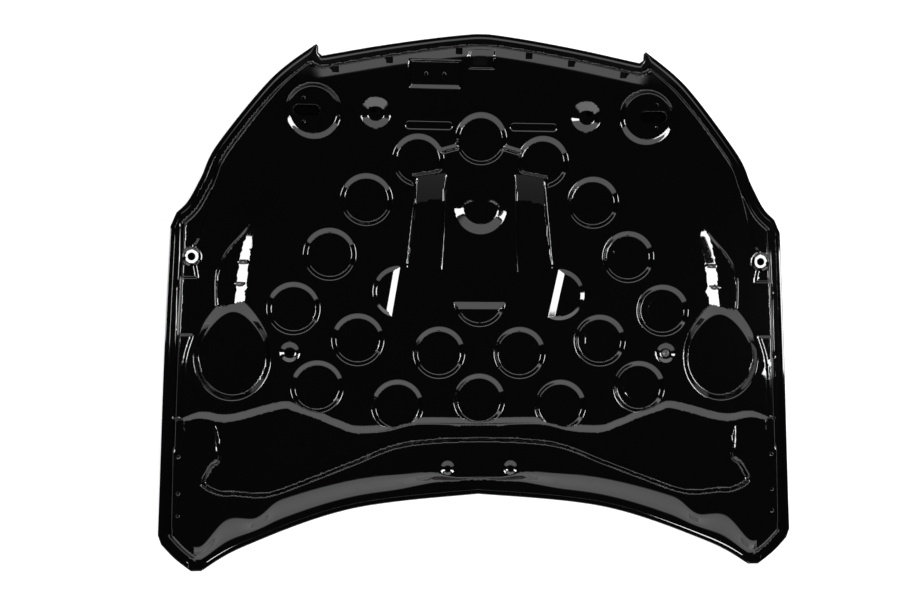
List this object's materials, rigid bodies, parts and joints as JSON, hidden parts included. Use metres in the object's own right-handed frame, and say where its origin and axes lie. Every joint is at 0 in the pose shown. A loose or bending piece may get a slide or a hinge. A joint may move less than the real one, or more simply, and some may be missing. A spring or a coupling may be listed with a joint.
{
  "type": "car bonnet",
  "caption": "Pressed-steel car bonnet with a hemmed outer skin and a cupped inner panel, lying on its skin; hinge, striker and catch pads are backed by plates with weld nuts.",
  "frame": {"origin": "middle of the bounding box in plan, at the height of the lowest point of the outer skin's painted face", "axes": "+X runs across the bonnet to the side with the plugged dimple, +Y from the rear edge to the nose, +Z from the painted face to the inner panel"},
  "size_m": [1.46, 1.24, 0.101],
  "materials": {
    "paint": "gloss",
    "panel_paint": "gloss",
    "coated_steel": "satin",
    "zinc": "satin",
    "mastic": "matte",
    "rubber": "matte"
  },
  "bodies": {
    "root": {"outer_skin": "paint", "inner_panel": "panel_paint", "striker_left_reinforcement": "coated_steel", "striker_right_reinforcement": "coated_steel", "hinge_left_reinforcement": "coated_steel", "hinge_right_reinforcement": "coated_steel", "catch_reinforcement": "coated_steel", "striker_left_weld_nut_1": "zinc", "striker_left_weld_nut_2": "zinc", "striker_right_weld_nut_1": "zinc", "striker_right_weld_nut_2": "zinc", "hinge_left_weld_nut_1": "zinc", "hinge_left_weld_nut_2": "zinc", "hinge_left_weld_nut_3": "zinc", "hinge_right_weld_nut_1": "zinc", "hinge_right_weld_nut_2": "zinc", "hinge_right_weld_nut_3": "zinc", "catch_weld_nut_1": "zinc", "catch_weld_nut_2": "zinc", "mastic_pad_1": "mastic", "mastic_pad_2": "mastic", "mastic_pad_3": "mastic", "mastic_pad_4": "mastic", "mastic_pad_5": "mastic", "mastic_pad_6": "mastic", "mastic_pad_7": "mastic", "mastic_pad_8": "mastic", "mastic_pad_9": "mastic", "mastic_pad_10": "mastic", "mastic_pad_11": "mastic", "mastic_pad_12": "mastic", "mastic_pad_13": "mastic", "mastic_pad_14": "mastic", "mastic_pad_15": "mastic", "mastic_pad_16": "mastic", "mastic_pad_17": "mastic", "mastic_pad_18": "mastic", "mastic_pad_19": "mastic", "mastic_pad_20": "mastic", "mastic_pad_21": "mastic", "dimple_plug": "rubber"}
  },
  "joints": []
}
